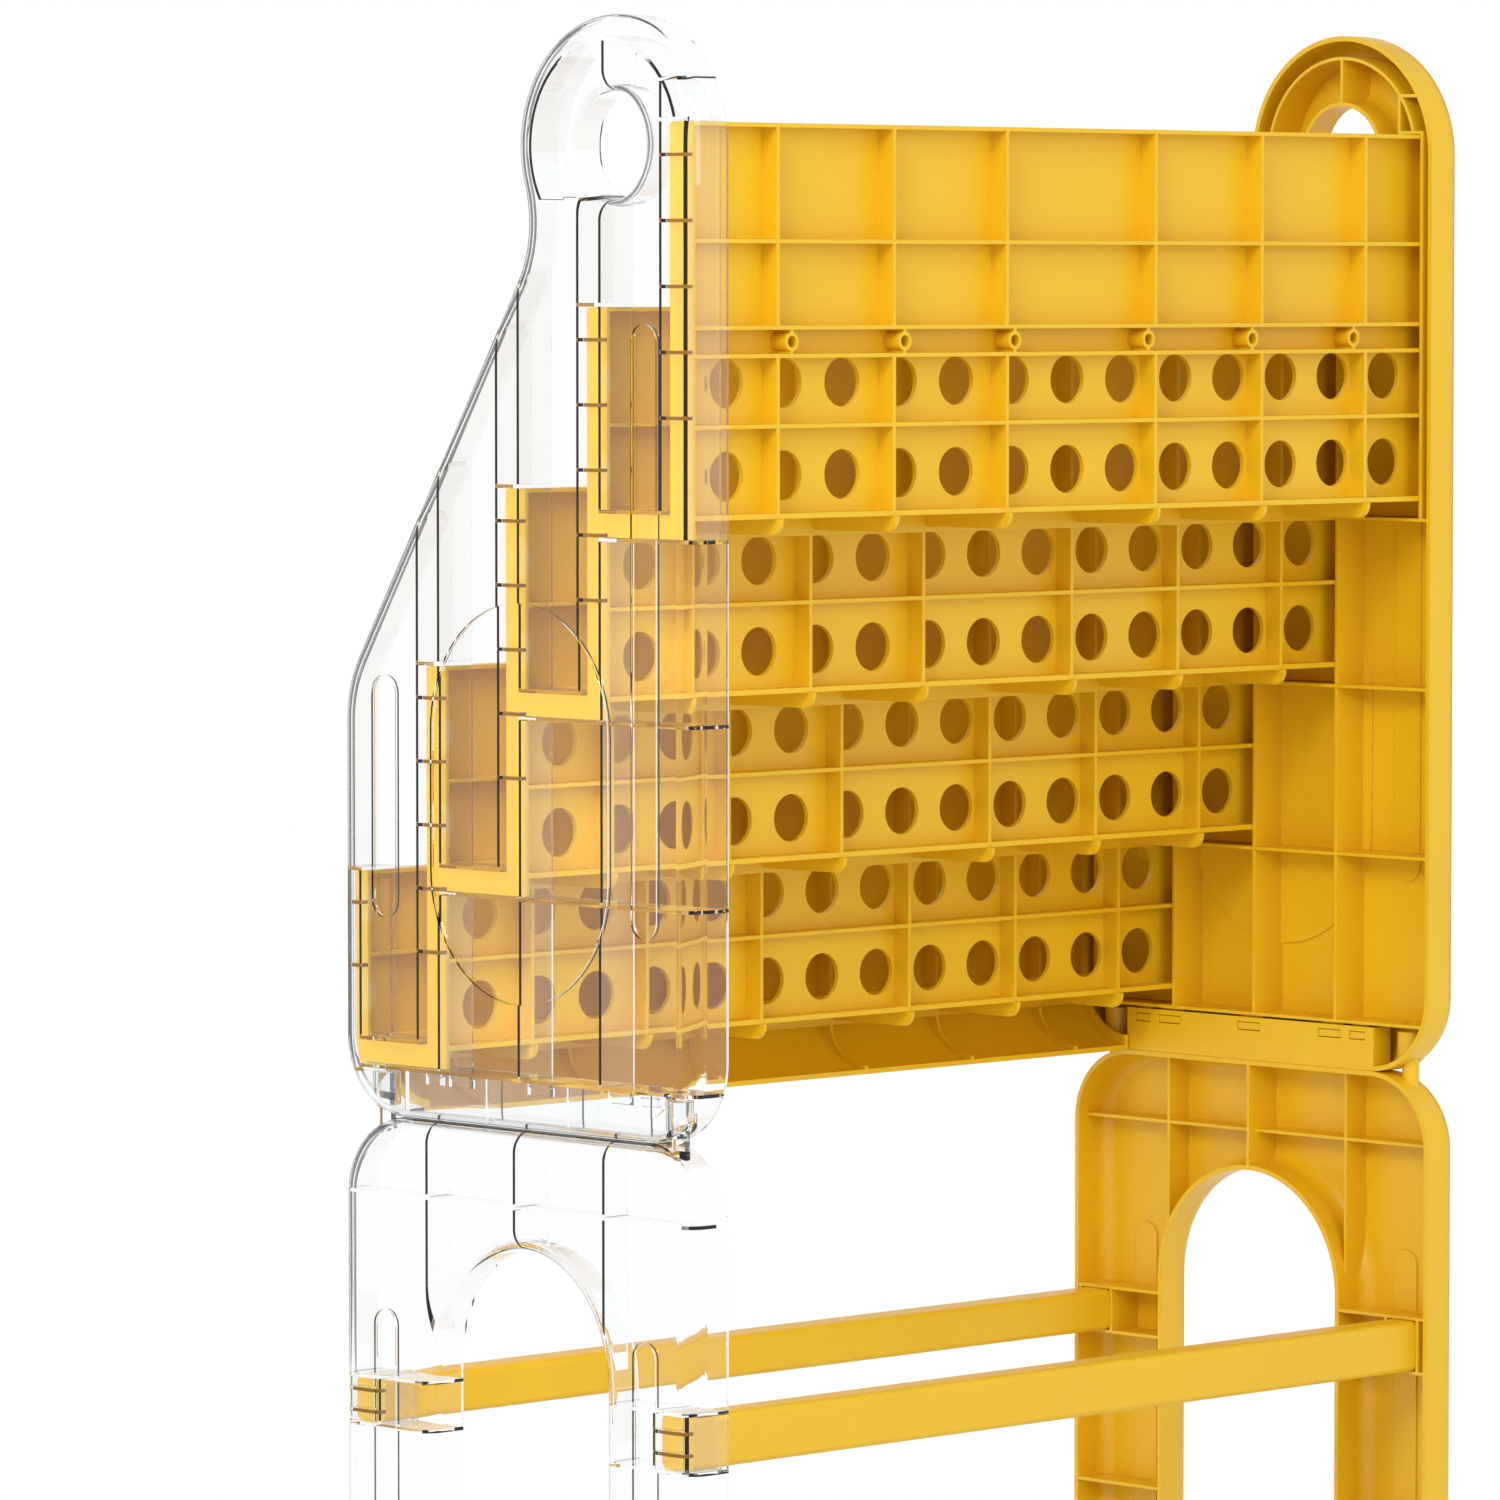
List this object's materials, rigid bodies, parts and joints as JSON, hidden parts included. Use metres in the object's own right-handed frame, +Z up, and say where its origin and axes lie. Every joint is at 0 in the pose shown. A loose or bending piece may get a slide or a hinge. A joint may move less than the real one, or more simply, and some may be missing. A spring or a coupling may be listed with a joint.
{
  "type": "tiered pocket rack",
  "caption": "Free-standing plastic rack with stepped perforated pockets between ring-topped end panels on arched leg panels joined by rails.",
  "frame": {"origin": "on the floor, at the middle of the footprint", "axes": "+Z up; X along the pockets with the clear end at +X; the low front faces -Y and the tall ribbed back faces +Y"},
  "size_m": [0.632, 0.2864, 1],
  "materials": {
    "yellow_plastic": "smooth satin",
    "clear_plastic": "clear, polished"
  },
  "bodies": {
    "root": {"left_end_panel": "yellow_plastic", "left_leg_panel": "yellow_plastic", "front_panel": "yellow_plastic", "front_rail": "yellow_plastic", "back_rail": "yellow_plastic", "pocket_board_1": "yellow_plastic", "pocket_board_2": "yellow_plastic", "pocket_board_3": "yellow_plastic", "pocket_board_4": "yellow_plastic", "right_end_panel": "clear_plastic", "right_leg_panel": "clear_plastic"}
  },
  "joints": []
}
